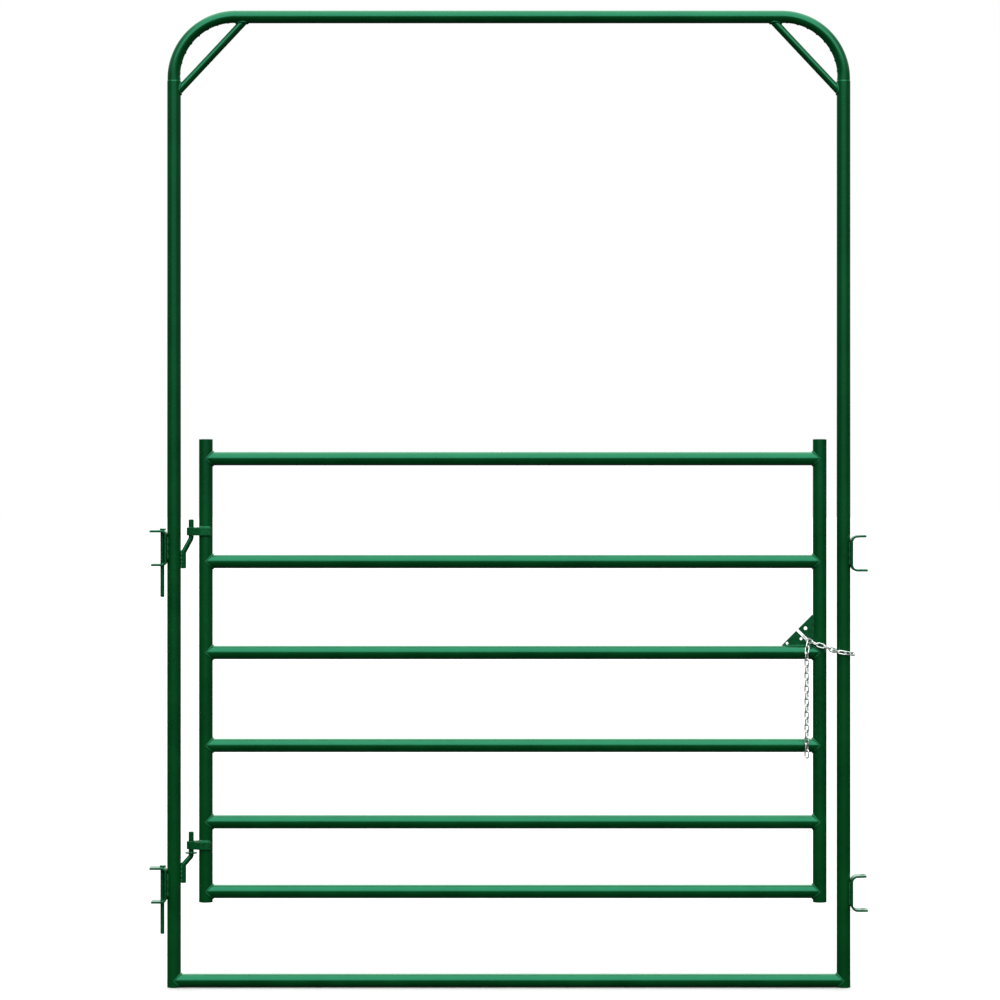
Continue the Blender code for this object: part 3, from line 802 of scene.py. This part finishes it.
weldTree = beadTree()
for body, paths in beadPaths.items():
    points, edges, radii = [], [], []
    for line, widths, closed in paths:
        first = len(points)
        points += line
        radii += widths
        edges += [(first + k, first + k + 1) for k in range(len(line) - 1)]
        if closed:
            edges.append((first + len(line) - 1, first))
    carrierMesh = bpy.data.meshes.new(body + "BeadPaths")
    carrierMesh.from_pydata(points, edges, [])
    carrierMesh.attributes.new("beadRadius", "FLOAT", "POINT").data.foreach_set("value", radii)
    welds = treePiece(f"{body}Welds", carrierMesh, weldTree, {
        "Ripple Pitch": beadLook["ripplePitch"], "Ripple Depth": beadLook["rippleDepth"],
        "Wander": beadLook["wander"], "Sides": beadLook["sides"],
        "Steps Per Ripple": beadLook["stepsPerRipple"], "Seed": beadLook["seed"], "Paint": weldPaint})
    standFor(welds, body, greenSlot)
    print("stage: weld beads on", body, len(paths), "runs,", len(welds.data.polygons), "faces")


chainLook = {"length": 0.0267, "width": 0.015, "wire": 0.00178, "bulge": 0.22, "twist": 8.0,
             "bendSteps": 28, "sides": 12}


def linkTree():
    # one welded link, bent from a circle of wire, set on every point with its own direction
    tree = openTree("chainLinks", {"Link Length": "Float", "Link Width": "Float", "Wire Radius": "Float",
                                   "Weld Bulge": "Float", "Twist": "Float", "Bend Steps": "Int",
                                   "Sides": "Int", "Zinc": "Material"})
    given = addNode(tree, "NodeGroupInput").outputs

    def maths(operation, a, b=None):
        return treeMaths(tree, operation, a, b)

    bend = maths("SUBTRACT", maths("DIVIDE", given["Link Width"], 2.0), given["Wire Radius"])
    endToMiddle = maths("SUBTRACT", maths("DIVIDE", given["Link Length"], 2.0), given["Wire Radius"])
    straight = maths("SUBTRACT", endToMiddle, bend)
    circle = addNode(tree, "GeometryNodeCurvePrimitiveCircle",
                     {"Resolution": given["Bend Steps"], "Radius": bend})
    place = addNode(tree, "GeometryNodeInputPosition").outputs["Position"]
    parts = addNode(tree, "ShaderNodeSeparateXYZ", {"Vector": place})
    steep = maths("DIVIDE", parts.outputs["X"], maths("MULTIPLY", bend, 0.2))
    side = maths("MINIMUM", maths("MAXIMUM", steep, -1.0), 1.0)
    shift = addNode(tree, "ShaderNodeCombineXYZ", {"X": maths("MULTIPLY", side, straight)})
    oval = addNode(tree, "GeometryNodeSetPosition",
                   {"Geometry": circle.outputs["Curve"], "Offset": shift.outputs["Vector"]})
    # a slight twist from one end to the other, as the chain machine leaves it
    ovalPlace = addNode(tree, "GeometryNodeInputPosition").outputs["Position"]
    ovalParts = addNode(tree, "ShaderNodeSeparateXYZ", {"Vector": ovalPlace})
    lengthShare = maths("DIVIDE", ovalParts.outputs["X"], given["Link Length"])
    angle = maths("MULTIPLY", lengthShare, maths("RADIANS", given["Twist"]))
    turned = addNode(tree, "ShaderNodeVectorRotate", {"Vector": ovalPlace, "Angle": angle},
                     rotation_type="X_AXIS")
    twisted = addNode(tree, "GeometryNodeSetPosition",
                      {"Geometry": oval.outputs["Geometry"], "Position": turned.outputs["Vector"]})
    # the butt weld swells the wire in the middle of one straight side
    fall = maths("POWER", maths("DIVIDE", ovalParts.outputs["X"], 0.0016), 2.0)
    hump = maths("EXPONENT", maths("MULTIPLY", fall, -1.0))
    oneSide = maths("GREATER_THAN", ovalParts.outputs["Y"], 0.0)
    swell = maths("MULTIPLY", maths("MULTIPLY", hump, oneSide), given["Weld Bulge"])
    size = maths("MULTIPLY", maths("ADD", swell, 1.0), given["Wire Radius"])
    dense = addNode(tree, "GeometryNodeResampleCurve",
                    {"Curve": twisted.outputs["Geometry"], "Length": 0.0016}, mode="LENGTH")
    ring = addNode(tree, "GeometryNodeCurvePrimitiveCircle", {"Resolution": given["Sides"], "Radius": 1.0})
    wire = addNode(tree, "GeometryNodeCurveToMesh",
                   {"Curve": dense.outputs["Curve"], "Profile Curve": ring.outputs["Curve"], "Scale": size})
    along = addNode(tree, "GeometryNodeInputNamedAttribute", {"Name": "along"}, data_type="FLOAT_VECTOR")
    across = addNode(tree, "GeometryNodeInputNamedAttribute", {"Name": "across"}, data_type="FLOAT_VECTOR")
    turn = addNode(tree, "FunctionNodeAxesToRotation",
                   {"Primary Axis": along.outputs["Attribute"], "Secondary Axis": across.outputs["Attribute"]},
                   primary_axis="X", secondary_axis="Y")
    links = addNode(tree, "GeometryNodeInstanceOnPoints",
                    {"Points": given["Geometry"], "Instance": wire.outputs["Mesh"],
                     "Rotation": turn.outputs["Rotation"]})
    return closeTree(tree, links.outputs["Instances"], given["Zinc"])


chainTree = linkTree()
chainBodies = {"chainLoop": "frame", "chainRun": "chain_run_body", "chainTail": "chain_tail_body"}
members = frame["record"]["behaviour"]["bodies"]
for pieceName, body in chainBodies.items():
    nodes = [n for n in members[body] if n.startswith("chain")]
    centres, alongs, acrosses = [], [], []
    for n in nodes:
        # a link's own middle, length direction and width direction, from its CAD solid
        spots = np.array([v.co for v in frame["nodes"][n].data.vertices], float)
        spots = np.unique(np.round(spots, 6), axis=0)
        middle = (spots.min(0) + spots.max(0)) / 2
        axes = np.linalg.svd(spots - spots.mean(0), full_matrices=False)[2]
        centres.append(tuple(middle))
        alongs += list(axes[0])
        acrosses += list(axes[1])
    carrierMesh = bpy.data.meshes.new(pieceName + "Points")
    carrierMesh.from_pydata(centres, [], [])
    carrierMesh.attributes.new("along", "FLOAT_VECTOR", "POINT").data.foreach_set("vector", alongs)
    carrierMesh.attributes.new("across", "FLOAT_VECTOR", "POINT").data.foreach_set("vector", acrosses)
    links = treePiece(pieceName, carrierMesh, chainTree, {
        "Link Length": chainLook["length"], "Link Width": chainLook["width"], "Wire Radius": chainLook["wire"],
        "Weld Bulge": chainLook["bulge"], "Twist": chainLook["twist"], "Bend Steps": chainLook["bendSteps"],
        "Sides": chainLook["sides"], "Zinc": chainZinc})
    standFor(links, body, zincSlot, *nodes)
    print("stage:", pieceName, len(nodes), "links,", len(links.data.polygons), "faces")


studioLook = {
    "floor": "#C2C3C2", "backdrop": "#FFFFFF",
    "ground": 0.04,                                        # below the horizon
    "bandLow": -0.026, "bandHigh": 0.021, "band": 0.55,    # a weak glow low in front and behind
    "domeLow": 0.15, "domeHigh": 0.25, "dome": 3.0,        # the wide soft light overhead
    "sideLow": 0.35, "sideHigh": 0.85, "sideShade": 0.85,
}
bm = bmesh.new()
for x, y in ((-40, -40), (40, -40), (40, 40), (-40, 40)):
    bm.verts.new((x, y, 0))
bm.faces.new(bm.verts)
floorPaint = bpy.data.materials.new("paleStudioFloor")
floorPaint.use_nodes = True
floorInputs = floorPaint.node_tree.nodes["Principled BSDF"].inputs
floorInputs["Base Color"].default_value = hexColour(studioLook["floor"])
floorInputs["Roughness"].default_value = 0.9
floor = meshObject("studioFloor", bm, [floorPaint])
floor.visible_diffuse = False
floor.visible_glossy = False

# a wide soft light overhead and all round, and a dark ground, so level tubes shine on top only
world = bpy.data.worlds.new("softStudio")
bpy.context.scene.world = world
world.use_nodes = True
sky = world.node_tree
sky.nodes.clear()
direction = addNode(sky, "ShaderNodeTexCoord").outputs["Generated"]
parts = addNode(sky, "ShaderNodeSeparateXYZ", {"Vector": direction})
height = parts.outputs["Z"]


def skyRange(value, fromLow, fromHigh, toLow, toHigh):
    return addNode(sky, "ShaderNodeMapRange", {"Value": value, "From Min": fromLow, "From Max": fromHigh,
                                               "To Min": toLow, "To Max": toHigh},
                   interpolation_type="SMOOTHSTEP").outputs["Result"]


def skyMaths(operation, a, b):
    return addNode(sky, "ShaderNodeMath", {0: a, 1: b}, operation=operation).outputs[0]


band = skyRange(height, studioLook["bandLow"], studioLook["bandHigh"], 0.0, studioLook["band"])
dome = skyRange(height, studioLook["domeLow"], studioLook["domeHigh"], 0.0,
                studioLook["dome"] - studioLook["band"])
# dark flags at both sides keep the edges of the uprights deep
sideways = skyMaths("ABSOLUTE", parts.outputs["X"], 0.0)
openness = skyRange(sideways, studioLook["sideLow"], studioLook["sideHigh"], 1.0,
                    1.0 - studioLook["sideShade"])
lit = skyMaths("ADD", skyMaths("MULTIPLY", skyMaths("ADD", band, dome), openness), studioLook["ground"])
lightDome = addNode(sky, "ShaderNodeBackground", {"Color": (1, 1, 1, 1), "Strength": lit})
backdrop = addNode(sky, "ShaderNodeBackground", {"Color": hexColour(studioLook["backdrop"]), "Strength": 1.0})
rays = addNode(sky, "ShaderNodeLightPath")
both = addNode(sky, "ShaderNodeMixShader", {0: rays.outputs["Is Camera Ray"], 1: lightDome.outputs[0],
                                            2: backdrop.outputs[0]})
addNode(sky, "ShaderNodeOutputWorld", {"Surface": both.outputs[0]})

cameraLook = {"sideways": -0.0245, "distance": 11.0, "height": 1.67, "viewWidth": 2.7887, "viewMiddle": 1.3585,
              "sensor": 36.0}
cameraData = bpy.data.cameras.new("studioCamera")
cameraData.sensor_width = cameraLook["sensor"]
cameraData.lens = cameraLook["sensor"] * cameraLook["distance"] / cameraLook["viewWidth"]
cameraData.shift_y = (cameraLook["viewMiddle"] - cameraLook["height"]) / cameraLook["viewWidth"]
camera = bpy.data.objects.new("studioCamera", cameraData)
camera.location = (cameraLook["sideways"], -cameraLook["distance"], cameraLook["height"])
camera.rotation_euler = (math.radians(90), 0, 0)
bpy.context.scene.collection.objects.link(camera)
bpy.context.scene.camera = camera
bpy.context.scene.view_settings.view_transform = "Standard"

bpy.context.view_layer.update()
print("stage: camera and light set")
